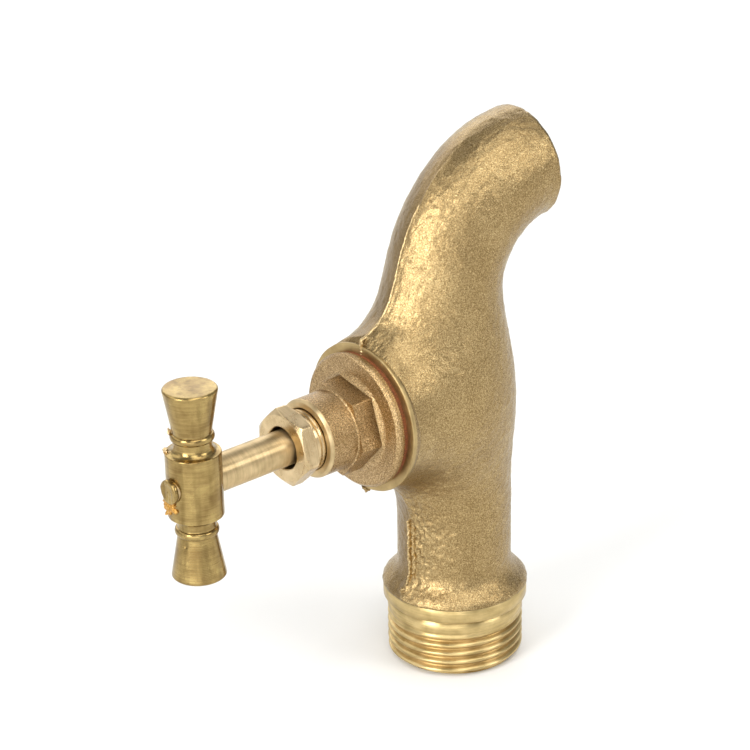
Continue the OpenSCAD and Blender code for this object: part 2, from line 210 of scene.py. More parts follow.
# Crossbar: lengths from its middle
HUB_R = 5.0
HUB_HALF = 6.05
SHOULDER_L = 1.4
NECK_R = 3.45
NECK_L = 0.9
BEAD_R = 3.95
BEAD_W = 1.4
CONE_R = 4.9
NICK_ANGLE = np.radians(-162)
NICK_PLACE = -10.9
NICK_R = 0.3
NICK_DEPTH = 0.25


# Shapes

def smooth(a):
    """Rises from 0 to 1 with level ends: three squares less two cubes."""
    a = np.clip(a, 0, 1)
    return a * a * (3 - 2 * a)


def between(x, places, values):
    """Carries values from place to place, level at each place."""
    i = np.clip(np.searchsorted(places, x, side="right") - 1, 0, len(places) - 2)
    share = smooth((x - places[i]) / (places[i + 1] - places[i]))
    return values[i] + (values[i + 1] - values[i]) * share


def lumps(points, size, seed):
    """Random heights at the corners of cubes of one size, blended smoothly inside each cube."""
    heights = np.random.default_rng(seed).uniform(-1, 1, 4096)
    place = points / size
    cell = np.floor(place).astype(np.int64)
    share = place - cell
    share = share * share * (3 - 2 * share)
    total = np.zeros(points.shape[:-1])
    for corner in np.ndindex(2, 2, 2):
        x, y, z = np.moveaxis(cell + np.array(corner), -1, 0)
        weight = np.prod(np.where(corner, share, 1 - share), axis=-1)
        # Three large primes spread neighbouring cubes over the table of heights
        total += weight * heights[(x * 73856093 ^ y * 19349663 ^ z * 83492791) & 4095]
    return total


def grid_normals(points):
    """Outward normals of a grid whose columns close on themselves: at each point, the cross
    product of the steps along and around."""
    along = np.gradient(points, axis=0)
    around = np.roll(points, -1, axis=1) - np.roll(points, 1, axis=1)
    normals = np.cross(along, around)
    return normals / np.maximum(np.linalg.norm(normals, axis=-1, keepdims=True), 1e-9)


def make_piece(name, points, materials, looped=False, choose=None):
    """One mesh over a grid of points: columns go round, rows go along. Looped rows close on
    themselves, and otherwise the first and last row each shrink to a pole. Faces that would point
    inwards are turned round, which the sign of the enclosed volume tells. choose gives each
    face's material from its middle point."""
    rows, cols = points.shape[:2]
    if looped:
        verts = points.reshape(-1, 3)
        first = np.arange(rows)
    else:
        verts = np.concatenate([points.reshape(-1, 3), points[[0, -1]].mean(axis=1)])
        first = np.arange(rows - 1)
    r, c = np.meshgrid(first, np.arange(cols), indexing="ij")
    r2 = (r + 1) % rows
    c2 = (c + 1) % cols
    quads = np.stack([r * cols + c, r * cols + c2, r2 * cols + c2, r2 * cols + c], -1).reshape(-1, 4)
    faces = quads.tolist()
    if not looped:
        ring = np.arange(cols)
        after = (ring + 1) % cols
        low = np.full(cols, rows * cols)
        top = (rows - 1) * cols
        faces += np.stack([after, ring, low], -1).tolist()
        faces += np.stack([top + ring, top + after, low + 1], -1).tolist()
    a, b, c, d = np.moveaxis(verts[quads], 1, 0)
    if np.sum(a * (np.cross(b, c) + np.cross(c, d))) < 0:
        faces = [face[::-1] for face in faces]
    mesh = bpy.data.meshes.new(name)
    mesh.from_pydata((verts * MM).tolist(), [], faces)
    for material in materials:
        mesh.materials.append(material)
    mesh.polygons.foreach_set("use_smooth", np.ones(len(faces), bool))
    if choose is not None:
        middles = np.empty(len(faces) * 3)
        mesh.polygons.foreach_get("center", middles)
        mesh.polygons.foreach_set("material_index", choose(middles.reshape(-1, 3) / MM).astype(int))
    mesh.update()
    piece = bpy.data.objects.new(name, mesh)
    bpy.context.scene.collection.objects.link(piece)
    return piece


def rounded(corners, radius, steps=3):
    """A profile with each corner turned into a small quadratic curve, which starts and ends at
    one reach from the corner."""
    corners = np.array(corners, float)
    points = [corners[0]]
    for before, corner, after in zip(corners[:-2], corners[1:-1], corners[2:]):
        back, ahead = before - corner, after - corner
        reach = min(radius, np.linalg.norm(back) * 0.45, np.linalg.norm(ahead) * 0.45)
        start = corner + back / np.linalg.norm(back) * reach
        end = corner + ahead / np.linalg.norm(ahead) * reach
        for t in np.linspace(0, 1, steps + 1):
            points.append((1 - t) ** 2 * start + 2 * t * (1 - t) * corner + t * t * end)
    points.append(corners[-1])
    return np.array(points)


def filled(profile, step):
    """Extra points on the long stretches of a profile, one every step."""
    points = [profile[:1]]
    for a, b in zip(profile[:-1], profile[1:]):
        count = max(1, int(np.ceil(np.linalg.norm(b - a) / step)))
        points.append(a + (b - a) * np.linspace(0, 1, count + 1)[1:, None])
    return np.concatenate(points)


def about_spindle(reach, radius, angle):
    """Points at a distance along -X and at a radius and angle about the spindle's axis."""
    return np.stack([-reach, -radius * np.sin(angle), VALVE_H + radius * np.cos(angle)], -1)


def about_inlet(height, radius, angle):
    """Points at a height and at a radius and angle about the inlet's axis."""
    return np.stack([radius * np.cos(angle), radius * np.sin(angle), height], -1)


def about_crossbar(place, radius, angle):
    """Points at a place along the crossbar and at a radius and angle about its axis."""
    return np.stack([-BAR_REACH + radius * np.cos(angle), radius * np.sin(angle), VALVE_H + place], -1)


def full_turn(cols):
    """The angles of one turn, evenly spaced."""
    return np.linspace(0, 2 * np.pi, cols, endpoint=False)


def revolved(distance, radius, about):
    """Points about an axis, from a distance for each row and a radius for each row and column."""
    angle = np.broadcast_to(full_turn(radius.shape[1]), radius.shape)
    return about(np.broadcast_to(distance, radius.shape), radius, angle)


def turned(profile, cols, about):
    """Revolves a profile of (distance, radius) pairs about an axis."""
    return revolved(profile[:, :1], np.repeat(profile[:, 1:], cols, axis=1), about)


def cut_to_hexagon(radius, where, angle, flats, turn, corner_r):
    """The radii of a turned blank, cut to six flats on some of its rows. A flat's distance from
    the axis is half the width across flats over the cosine of the angle from the flat's middle,
    and the corners stay turned to a radius of their own."""
    from_corner = np.mod(angle - turn + np.pi / 6, np.pi / 3) - np.pi / 6
    flat = flats / 2 / np.cos(np.pi / 6 - np.abs(from_corner))
    return np.where(where, np.minimum(radius, np.minimum(flat, corner_r)), radius)


# Colours and materials

def linear(code):
    """An sRGB hex colour as linear red, green, blue and alpha."""
    srgb = np.array([int(code[i:i + 2], 16) for i in (1, 3, 5)]) / 255
    value = np.where(srgb <= 0.04045, srgb / 12.92, ((srgb + 0.055) / 1.055) ** 2.4)
    return (*value.tolist(), 1.0)


def add(tree, kind, stops=(), **settings):
    """Adds a shader node. Each setting is a socket's value or link, or a property of the node."""
    node = tree.nodes.new("ShaderNode" + kind)
    sockets = {s.identifier: s for s in node.inputs}
    for key, value in settings.items():
        name = key.replace("_", " ")
        socket = sockets.get(key) or sockets.get(name)
        if socket is None:
            setattr(node, key, value)
        elif isinstance(value, bpy.types.NodeSocket):
            tree.links.new(value, socket)
        else:
            socket.default_value = value
        sockets = {s.identifier: s for s in node.inputs}
    for i, (place, color) in enumerate(stops):
        ramp = node.color_ramp.elements
        stop = ramp[i] if i < 2 else ramp.new(place)
        stop.position = place
        stop.color = color
    return node


def new_material(name):
    """A material with an empty node tree."""
    material = bpy.data.materials.new(name)
    material.use_nodes = True
    material.node_tree.nodes.clear()
    return material, material.node_tree


# Sizes in millimetres of the patterns that every cast or turned brass shares: patches of tarnish,
# the wandering edge of the painted shade strip, the tool's scratches and streaks of tarnish and painted
# reflection
CAST_STAIN_MM = 7
SHADE_STRIP_WANDER_MM = 4
SCRATCH_MM = 0.3
TURNED_STAIN_MM = 3
STREAK_MM = 1.5
# How far a scratch is drawn out along the tool's ring, and a streak along the piece
SCRATCH_STRETCH = 0.04
STREAK_STRETCH = 0.08
# A wave texture's bands repeat every 0.314 at scale 1
BAND_REPEAT = 0.314


def cast_metal(name, dark, mid, light, grain_mm, rough_low, rough_high, relief_mm, painted_shade_color=None):
    """Brass as it leaves a mould: the grains of its wall print a matte, sparkling relief, and its
    colour follows the relief's heights, with painted shade in the hollows and painted highlight on the
    tops.
    Specks of about half a grain vary its shine. A browner strip of painted shade runs beside the seam
    on the +Y flank, on the boss's side of the casting."""
    material, tree = new_material(name)
    place = add(tree, "TexCoord").outputs["Object"]
    grain = add(tree, "TexNoise", Vector=place, Scale=1 / (grain_mm * MM), Detail=3.0, Roughness=0.65,
                Distortion=0.5)
    stain = add(tree, "TexNoise", Vector=place, Scale=1 / (CAST_STAIN_MM * MM), Detail=3.0,
                Roughness=0.5)
    speck = add(tree, "TexNoise", Vector=place, Scale=1 / (0.45 * grain_mm * MM), Detail=2.0)
    stained = add(tree, "Math", operation="MULTIPLY_ADD", Value=stain.outputs["Fac"],
                  Value_001=0.14, Value_002=-0.07)
    tone = add(tree, "Math", operation="ADD", Value=grain.outputs["Fac"], Value_001=stained.outputs[0])
    # The colour follows the grain's heights: painted shade in the hollows, painted highlight on the
    # tops
    color = add(tree, "ValToRGB", Fac=tone.outputs[0],
                stops=[(0.34, linear(dark)), (0.68, linear(light)),
                       (0.5, linear(mid))]).outputs["Color"]
    rough = add(tree, "MapRange", Value=speck.outputs["Fac"], From_Min=0.35, From_Max=0.65,
                To_Min=rough_low, To_Max=rough_high).outputs[0]
    # A browner strip of painted shade on the +Y flank beside the seam, towards the boss
    if painted_shade_color:
        wander = add(tree, "TexNoise", Vector=place, Scale=1 / (SHADE_STRIP_WANDER_MM * MM), Detail=2.0)
        sides = add(tree, "SeparateXYZ", Vector=place)
        front = add(tree, "MapRange", interpolation_type="SMOOTHSTEP", Value=sides.outputs["X"],
                    From_Min=-1 * MM, From_Max=5 * MM, To_Min=0.6, To_Max=0.0).outputs[0]
        shifted = add(tree, "Math", operation="MULTIPLY_ADD", Value=wander.outputs["Fac"],
                      Value_001=1.2 * MM, Value_002=sides.outputs["Y"]).outputs[0]
        rise = add(tree, "MapRange", interpolation_type="SMOOTHSTEP", Value=shifted,
                   From_Min=0.5 * MM, From_Max=0.9 * MM)
        fall = add(tree, "MapRange", interpolation_type="SMOOTHSTEP", Value=shifted,
                   From_Min=4.5 * MM, From_Max=7.0 * MM, To_Min=1.0, To_Max=0.0)
        shade_strip = add(tree, "Math", operation="MULTIPLY", Value=rise.outputs[0],
                    Value_001=fall.outputs[0])
        share = add(tree, "Math", operation="MULTIPLY", Value=shade_strip.outputs[0],
                    Value_001=front).outputs[0]
        color = add(tree, "Mix", data_type="RGBA", Factor_Float=share, A_Color=color,
                    B_Color=linear(painted_shade_color)).outputs[2]
    relief = add(tree, "Bump", Height=grain.outputs["Fac"], Distance=relief_mm * MM, Strength=1.0)
    fine = add(tree, "Bump", Height=speck.outputs["Fac"], Distance=relief_mm * 0.5 * MM,
               Strength=1.0, Normal=relief.outputs[0])
    shader = add(tree, "BsdfPrincipled", Base_Color=color, Metallic=1.0, Roughness=rough,
                 Normal=fine.outputs[0])
    add(tree, "OutputMaterial", Surface=shader.outputs[0])
    return material


def turned_metal(name, dark, light, direction, groove_mm, rough_low, rough_high, relief_mm, spread=0.8,
                 tarnish_and_reflection=None):
    """Brass turned on a lathe: the tool leaves fine rings round the axis, which spread each
    reflection along it. Where asked for, dark streaks run along it: partly tarnish from long handling,
    and partly painted reflection of darker parts of the room. The tool's real rings are about 0.1 mm
    apart, too fine to show, and are drawn two to five times as coarse."""
    material, tree = new_material(name)
    place = add(tree, "TexCoord").outputs["Object"]
    rings = add(tree, "TexWave", wave_type="BANDS", bands_direction=direction, Vector=place,
                Scale=BAND_REPEAT / (groove_mm * MM), Distortion=0.6, Detail=2.0)
    across, along = {"X": ((1, SCRATCH_STRETCH, SCRATCH_STRETCH), (STREAK_STRETCH, 1, 1)),
                     "Z": ((SCRATCH_STRETCH, SCRATCH_STRETCH, 1), (1, 1, STREAK_STRETCH))}[direction]
    ringed = add(tree, "Mapping", Vector=place, Scale=across)
    scratch = add(tree, "TexNoise", Vector=ringed.outputs[0], Scale=1 / (SCRATCH_MM * MM),
                  Detail=4.0, Roughness=0.7)
    stain = add(tree, "TexNoise", Vector=place, Scale=1 / (TURNED_STAIN_MM * MM), Detail=4.0,
                Roughness=0.5)
    stained = add(tree, "Math", operation="MULTIPLY", Value=stain.outputs["Fac"], Value_001=0.62)
    tone = add(tree, "Math", operation="MULTIPLY_ADD", Value=scratch.outputs["Fac"], Value_001=0.38,
               Value_002=stained.outputs[0])
    color = add(tree, "ValToRGB", Fac=tone.outputs[0],
                stops=[(0.38, linear(dark)), (0.62, linear(light))]).outputs["Color"]
    # Dark streaks along the axis: partly tarnish, partly painted dark reflection
    if tarnish_and_reflection:
        run = add(tree, "Mapping", Vector=place, Scale=along)
        tarnish_reflection_streak = add(tree, "TexNoise", Vector=run.outputs[0], Scale=1 / (STREAK_MM * MM),
                     Detail=2.0, Roughness=0.5)
        share = add(tree, "MapRange", Value=tarnish_reflection_streak.outputs["Fac"], From_Min=0.48, From_Max=0.78,
                    To_Max=0.55).outputs[0]
        color = add(tree, "Mix", data_type="RGBA", Factor_Float=share, A_Color=color,
                    B_Color=linear(tarnish_and_reflection)).outputs[2]
    rough = add(tree, "MapRange", Value=stain.outputs["Fac"], From_Min=0.3, From_Max=0.7,
                To_Min=rough_low, To_Max=rough_high)
    relief = add(tree, "Bump", Height=rings.outputs["Fac"], Distance=relief_mm * MM, Strength=1.0)
    fine = add(tree, "Bump", Height=scratch.outputs["Fac"], Distance=relief_mm * MM,
               Strength=1.0, Normal=relief.outputs[0])
    round_axis = add(tree, "Tangent", direction_type="RADIAL", axis=direction)
    shader = add(tree, "BsdfPrincipled", Base_Color=color, Metallic=1.0,
                 Roughness=rough.outputs[0], Anisotropic=spread, Anisotropic_Rotation=0.25,
                 Tangent=round_axis.outputs[0], Normal=fine.outputs[0])
    add(tree, "OutputMaterial", Surface=shader.outputs[0])
    return material


def soft_material(name, dark, light, grain_mm, roughness, relief_mm):
    """Rubber, fibre or packing: a dull mottled surface with no metal in it."""
    material, tree = new_material(name)
    place = add(tree, "TexCoord").outputs["Object"]
    grain = add(tree, "TexNoise", Vector=place, Scale=1 / (grain_mm * MM), Detail=4.0)
    color = add(tree, "ValToRGB", Fac=grain.outputs["Fac"],
                stops=[(0.35, linear(dark)), (0.65, linear(light))])
    relief = add(tree, "Bump", Height=grain.outputs["Fac"], Distance=relief_mm * MM, Strength=1.0)
    shader = add(tree, "BsdfPrincipled", Base_Color=color.outputs["Color"], Roughness=roughness,
                 Normal=relief.outputs[0])
    add(tree, "OutputMaterial", Surface=shader.outputs[0])
    return material


# Raw brass from a sand mould: moulding sand has grains of about a quarter of a millimetre, which
# give a soft, sandy gold that breaks up every reflection. The browner strip beside the seam is painted
# shade
sand_cast_brass = cast_metal("sand_cast_brass", dark="#7c6541", mid="#9c845a", light="#c8b080",
                             grain_mm=0.24, rough_low=0.25, rough_high=0.35, relief_mm=0.05,
                             painted_shade_color="#786344")

# Flash broken off at the seam: fresh torn brass, lighter than the skin beside it
broken_flash_brass = cast_metal("broken_flash_brass", dark="#a08860", mid="#c4aa7a", light="#e8d2a2",
                                grain_mm=0.3, rough_low=0.26, rough_high=0.4, relief_mm=0.03)

# Hot-pressed brass: a tighter, deeper grain, with more contrast between the painted shade and
# painted highlight of its grain, which makes the bonnet look redder and rougher than the casting
pressed_brass = cast_metal("hot_pressed_brass", dark="#765d3c", mid="#a2865c", light="#dcbe90",
                           grain_mm=0.22, rough_low=0.22, rough_high=0.34, relief_mm=0.08)

# Burr torn off by the rivet hammer: tarnished orange crumbs
torn_brass = cast_metal("torn_tarnished_brass", dark="#9a6a2c", mid="#c8964a", light="#e6c07c",
                        grain_mm=0.3, rough_low=0.35, rough_high=0.5, relief_mm=0.05)

# The boss's end, faced with one cut: satin, with hardly any rings
faced_brass = turned_metal("faced_satin_brass", dark="#9c855a", light="#bca474", direction="X",
                           groove_mm=0.5, rough_low=0.34, rough_high=0.42, relief_mm=0.002, spread=0.3)

# Bar brass turned about an upright axis and handled: golden, with rings and olive streaks that are
# partly tarnish and partly painted dark reflection
lathe_brass_up = turned_metal("lathe_turned_brass_upright", dark="#866e44", light="#b49c64",
                              direction="Z", groove_mm=0.3, rough_low=0.2, rough_high=0.3,
                              relief_mm=0.005, spread=0.5, tarnish_and_reflection="#5a4626")

# A fresh chased thread: pale yellow crests with long soft reflections
chased_brass = turned_metal("thread_chased_brass", dark="#b09966", light="#d4bc86", direction="Z",
                            groove_mm=0.3, rough_low=0.3, rough_high=0.38, relief_mm=0.003, spread=0.7)

# The bottom of the thread's groove: the same brass, duller, and darker in colour as painted shade
groove_shade_brass = turned_metal("thread_groove_painted_shade_brass", dark="#a08450", light="#c8a870", direction="Z",
                            groove_mm=0.3, rough_low=0.36, rough_high=0.46, relief_mm=0.003, spread=0.6)

# Bar brass turned about a level axis: pale satin with a long highlight along it
lathe_brass_across = turned_metal("lathe_turned_brass_across", dark="#b09970", light="#d6be92",
                                  direction="X", groove_mm=0.3, rough_low=0.34, rough_high=0.42,
                                  relief_mm=0.0015)

# Milled flats, the brightest surface of the tap, almost a mirror
bright_brass = turned_metal("bright_milled_brass", dark="#b49c74", light="#dac298", direction="X",
                            groove_mm=0.2, rough_low=0.24, rough_high=0.32, relief_mm=0.002, spread=0.3)

# Vulcanised fibre, punched from a sheet: matte red-brown
gasket_fibre = soft_material("vulcanised_fibre", dark="#5c3015", light="#8c4e26", grain_mm=0.3,
                             roughness=0.6, relief_mm=0.02)

# Braided packing soaked in grease: dull and nearly black
greased_packing = soft_material("greased_packing", dark="#2c2a26", light="#4a463e", grain_mm=0.4,
                                roughness=0.7, relief_mm=0.03)

# Moulded rubber: matte black
washer_rubber = soft_material("moulded_rubber", dark="#141414", light="#232323", grain_mm=0.2,
                              roughness=0.55, relief_mm=0.01)


# The cast body

def path(q):
    """Centre and direction of the casting at q: a riser that leans towards the boss while q is
    under 1, then one cubic curve to the mouth."""
    height = PATH_FOOT + PATH_RISE * q
    lean_share = (height - LEAN_FOOT) / (BEND_FOOT - LEAN_FOOT)
    riser = np.stack([-LEAN * smooth(lean_share), height], -1)
    tilt = np.array([np.cos(MOUTH_TILT), np.sin(MOUTH_TILT)])
    p0 = np.array([-LEAN, BEND_FOOT])
    p1 = p0 + [0, BEND_RISE]
    p2 = MOUTH - BEND_RUN * tilt
    t = np.clip(q - 1, 0, 1)[:, None]
    curve = (1 - t) ** 3 * p0 + 3 * (1 - t) ** 2 * t * p1 + 3 * (1 - t) * t * t * p2 + t ** 3 * MOUTH
    rate = (1 - t) ** 2 * (p1 - p0) + 2 * (1 - t) * t * (p2 - p1) + t * t * (MOUTH - p2)
    rate /= np.linalg.norm(rate, axis=1, keepdims=True)
    bent = (q > 1)[:, None]
    return np.where(bent, curve, riser), np.where(bent, rate, [0.0, 1.0])


def placed(q, across, side):
    """Points of a section plane: across is measured towards the keel, side along Y."""
    centre, way = path(q)
    keel_way = np.stack([-way[:, 1], way[:, 0]], -1)
    x = centre[:, :1] + keel_way[:, :1] * across
    z = centre[:, 1:] + keel_way[:, 1:] * across
    return np.stack([x, side, z], -1)


def skin_gap(q, across, side, stretch):
    """Below 0 inside the casting: the section's own gap and the boss rod's, softly joined."""
    points = placed(q, across * stretch, side * stretch)
    section = (stretch - 1) * np.hypot(across, side)
    reach = np.clip(-points[..., 0] / BOSS_REACH, 0, 1.2)
    rod_r = BOSS_ROOT_R + (BOSS_FRONT_R - BOSS_ROOT_R) * reach ** 2
    behind = np.maximum(points[..., 0] - ROD_START, 0)
    rod = np.sqrt(behind ** 2 + points[..., 1] ** 2 + (points[..., 2] - VALVE_H) ** 2) - rod_r
    rod -= RIDGE_H * np.clip(1 - np.abs(points[..., 1]) / RIDGE_W, 0, 1)
    near = np.clip(BOSS_BLEND - np.abs(section - rod), 0, None) / BOSS_BLEND
    return np.minimum(section, rod) - near * near * BOSS_BLEND / 4


def casting_skin(q, angle):
    """Each section is an oval with a keel at angle 0, whose crest softens towards the mouth. Each
    of its points is moved out along its own ray, by halving, until it lies where the casting's gap
    is 0. Points past the boss's front are drawn back along their ray to lie on it."""
    radius = between(q, SECTION_PLACES, SECTION_RADII)[:, None]
    keel = between(q, SECTION_PLACES, KEEL_SHARES)[:, None]
    breadth = between(q, SECTION_PLACES, BREADTH_SHARES)[:, None]
    height = PATH_FOOT + PATH_RISE * q
    flare = np.exp(-(np.maximum(height - BAND_TOP, 0) / SHOULDER_H) ** 2)[:, None]
    keel = keel * (1 - flare)
    radius = radius + (SHOULDER_R - radius) * flare
    soft = (CREST_SOFT * smooth((q - CREST_SOFT_FROM) / CREST_SOFT_RUN))[:, None]
    slope = np.sqrt(np.sin(angle) ** 2 + soft ** 2)
    crest = np.where(np.cos(angle) > 0, np.maximum(1 - slope, 0), 0)
    across = radius * (np.cos(angle) + keel * crest)
    side = radius * breadth * np.sin(angle)
    low = np.ones_like(across)
    high = np.full_like(across, 4.0)
    for _ in range(30):
        middle = (low + high) / 2
        inside = skin_gap(q, across, side, middle) <= 0
        low = np.where(inside, middle, low)
        high = np.where(inside, high, middle)
    points = placed(q, across * low, side * low)
    centre = path(q)[0]
    far = BOSS_REACH - BOSS_FRONT_GAP
    past = -points[..., 0] > far
    share = np.where(past, (far + centre[:, :1]) / np.where(past, centre[:, :1] - points[..., 0], 1), 1)
    points[..., 0] = centre[:, :1] + (points[..., 0] - centre[:, :1]) * share
    points[..., 1] *= share
    points[..., 2] = centre[:, 1:] + (points[..., 2] - centre[:, 1:]) * share
    return points


def parting_relief(skin, q):
    """Height of the skin beside the seam where the mould's halves met. The half on the -Y side
    stands a little prouder and is wrinkled, most of all low on the pipe: its wrinkles are ridges
    that run where random lumps change sign. Near the collar the seam ends in a crumb."""
    y, z = skin[..., 1], skin[..., 2]
    towards_boss = skin[..., 0] < path(q)[0][:, :1]
    proud = smooth(0.5 - y / SEAM_STEP_W) * np.exp(-(y / SEAM_FADE) ** 2)
    low_down = np.exp(-((z - WRINKLE_Z) / WRINKLE_RISE) ** 2)
    high_up = SPOUT_WRINKLE_SHARE * smooth((z - SPOUT_WRINKLE_Z) / 8)
    below_top = smooth((SEAM_TOP - z) / 8)
    beside = smooth(-y / SEAM_STEP_W) * np.exp(-(y / WRINKLE_W) ** 2)
    wrinkled = beside * (0.1 + np.maximum(low_down, high_up))
    ridges = 0.7 - 2.4 * np.abs(lumps(skin * [1, 1, 1.3], 1.0, 14))
    wrinkles = ridges + 0.6 * lumps(skin, 0.45, 15)
    crumb_end = np.exp(-((z - CRUMB_Z) / 1.2) ** 2 - ((y - CRUMB_Y) / 1.0) ** 2)
    height = 0.5 * SEAM_H * proud + WRINKLE_H * wrinkled * wrinkles
    return np.where(towards_boss, height + CRUMB_H * crumb_end, 0.3 * height) * below_top


def build_parting_fin(name, q_from, q_to, rows, height, torn, material, aside=0.0):
    """Flash torn off at the seam: a thin ridge that follows the casting's skin at the keel, with
    a wandering course, and a crest that random lumps leave jagged. Its section is a low dome,
    closed by a floor under the skin: share, rise and sunk give each of the section's points its
    place across, its part of the height and its depth under the foot. Places across are turned
    to angles about the section's middle, and the lumps lie along a straight run as q goes up."""
    q = np.linspace(q_from, q_to, rows)
    course = np.linspace(0, FIN_LUMP_RUN * (q_to - q_from), rows)
    along = np.stack([course * 0, course * 0, course], -1)
    wander = FIN_WANDER * lumps(along, 3.2, 11) + 0.5 * FIN_WANDER * lumps(along, 1.1, 12)
    width = FIN_HALF_W + 0.07 * lumps(along, 0.6, 16)
    ends = smooth(np.linspace(0, rows / 8, rows)) * smooth(np.linspace(rows / 8, 0, rows))
    jagged = (0.5 + lumps(along, 1.0, 17) + 0.7 * lumps(along, 0.35, 18)).clip(0, 2)
    crest = height * ends * (1 - torn + torn * jagged)
    share = np.array([-1, -0.72, -0.4, -0.15, 0.15, 0.4, 0.72, 1, 0.6, -0.6])
    rise = np.array([0, 0.45, 0.85, 1, 1, 0.85, 0.45, 0, 0, 0])
    sunk = np.array([0.12, 0.05, 0.02, 0, 0, 0.02, 0.05, 0.12, 0.45, 0.45])
    side = aside + wander[:, None] + width[:, None] * share
    skin = casting_skin(q, side / FIN_ANGLE_R)
    beside = casting_skin(q, side / FIN_ANGLE_R + 0.02)
    ahead = np.gradient(skin, axis=0)
    normals = np.cross(ahead, beside - skin)
    normals /= np.linalg.norm(normals, axis=-1, keepdims=True)
    points = skin + normals * (crest[:, None] * rise - sunk + FIN_FOOT)[..., None]
    piece = make_piece(name, points, [material])
    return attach(piece, "housing")


def bored(skin):
    """Sinks the boss's valve bore into its closed front: the outer quarter of the disc's radius
    becomes the bore's wall, and the rest is spread over its floor."""
    wall = 0.25
    radius = np.hypot(skin[..., 1], skin[..., 2] - VALVE_H)
    inside = (skin[..., 0] < 0.5 - BOSS_REACH) & (radius < VALVE_BORE_R)
    share = radius / VALVE_BORE_R
    spread = np.where(inside, 0.998 / np.maximum(share, 1 - wall), 1)
    sunk = np.where(inside, VALVE_BORE_L * np.clip((1 - share) / wall, 0, 1), 0)
    return np.stack([skin[..., 0] + sunk, skin[..., 1] * spread,
                     VALVE_H + (skin[..., 2] - VALVE_H) * spread], -1)


def rough_cast(skin, q):
    """The skin pushed out and in along its normals by random lumps, the seam's relief and a few
    pits. Its flanks lie a little deeper, and the front stays flat for the faced ring."""
    quiet = smooth((-skin[..., 0] - BOSS_REACH + 1.5) / 1.2)
    height = sum(part * lumps(skin, size, seed) for part, size, seed in SKIN_LUMPS)
    height = height + parting_relief(skin, q)
    for pit in PITS:
        height = height - PIT_DEPTH * np.exp(-(((skin - pit) / PIT_R) ** 2).sum(axis=-1))
    sunk = FLANK_SUNK * smooth((np.abs(skin[..., 1]) - FLANK_Y) / 2)
    return skin + grid_normals(skin) * (height * (1 - quiet) - sunk)[..., None]


def behind_ring(skin):
    """The skin drawn in towards the boss's axis close behind the faced ring, so that the ring
    stands proud of it."""
    radius = np.hypot(skin[..., 1], skin[..., 2] - VALVE_H)
    behind = skin[..., 0] + BOSS_REACH
    widest = np.where(behind < 3, BOSS_FRONT_R + 3 * smooth((behind - 0.7) / 0.8), 99)
    share = np.minimum(1, widest / np.maximum(radius, 1))
    axis = [0, 0, VALVE_H]
    return skin * [1, 0, 0] + axis + (skin - axis) * [0, 1, 1] * share[..., None]


def build_casting():
    """The outer skin from the shoulder to the mouth, over the rim and back down the waterway."""
    turn = full_turn(CASTING_COLS)
    # Columns lie closer together near the keel
    angle = turn - 0.5 * np.sin(turn)
    foot_q = (BAND_TOP - PATH_FOOT) / PATH_RISE
    outer_q = np.concatenate([np.linspace(foot_q, 1, 240, endpoint=False), np.linspace(1, 1.997, 98)])
    outer = bored(behind_ring(rough_cast(casting_skin(outer_q, angle), outer_q)))

    def ring(q, radius, push=0.0):
        """A round section of the waterway at q, pushed along the path's direction."""
        q = np.full(1, q)
        points = placed(q, radius * np.cos(angle)[None], radius * np.sin(angle)[None])
        way = path(q)[1][0]
        return points + push * np.array([way[0], 0, way[1]])

    rim_r = SECTION_RADII[-1]
    rim = [ring(2.0, radius, push) for radius, push in [
        (rim_r - 0.35, 0.0), (rim_r - 1.0, 0.02), (MOUTH_BORE_R + 0.3, 0.01),
        (MOUTH_BORE_R + 0.06, 0.0), (MOUTH_BORE_R, -0.3), (MOUTH_BORE_R, -MOUTH_BORE_L / 2),
        (MOUTH_BORE_R, -MOUTH_BORE_L), (PASSAGE_R, -MOUTH_BORE_L - 0.4)]]
    inner_q = np.concatenate([np.linspace(1.75, 1, 12), np.linspace(1, foot_q, 24)[1:]])
    inner_h = PATH_FOOT + PATH_RISE * inner_q
    inner_r = np.select([inner_h > PASSAGE_LOW, inner_h > SEAT_LOW], [PASSAGE_R, BEHIND_SEAT_R],
                        INLET_BORE_R + 0.1)
    inner = [ring(q, r) for q, r in zip(inner_q, inner_r)]
    points = np.concatenate([outer] + rim + inner)
    piece = make_piece("cast_body", points, [sand_cast_brass], looped=True)
    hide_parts("body")
    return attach(piece, "housing")


def build_boss_face():
    """The faced end of the boss: a flat satin ring with a rounded lip and a short smooth side,
    whose far edge runs out under the rough casting."""
    back = BOSS_REACH - RING_L
    corners = [(BOSS_REACH - 3, VALVE_BORE_R), (BOSS_REACH, VALVE_BORE_R), (BOSS_REACH, BOSS_R),
               (BOSS_REACH - 0.9, BOSS_R - 0.05), (back, BOSS_R - 1.6), (back, RING_ROOT_R)]
    profile = filled(rounded(corners, 0.22), 0.3)
    points = turned(profile, 240, about_spindle)
    radial = points - [0, 0, VALVE_H]
    radial[..., 0] = 0
    radius = np.linalg.norm(radial, axis=-1, keepdims=True)
    edge = smooth((radius - BOSS_R + 1.2) / 1.0)
    drawn_out = points * [0.3, 1, 1]
    rough = 0.05 * lumps(drawn_out, 3.0, 7) + 0.03 * lumps(drawn_out, 1.0, 8)
    points = points + radial / radius * edge * (rough[..., None] - 0.05)
    piece = make_piece("boss_face", points, [sand_cast_brass, faced_brass], looped=True,
                       choose=lambda middle: -middle[:, 0] > BOSS_REACH - RING_SIDE_L)
    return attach(piece, "housing")


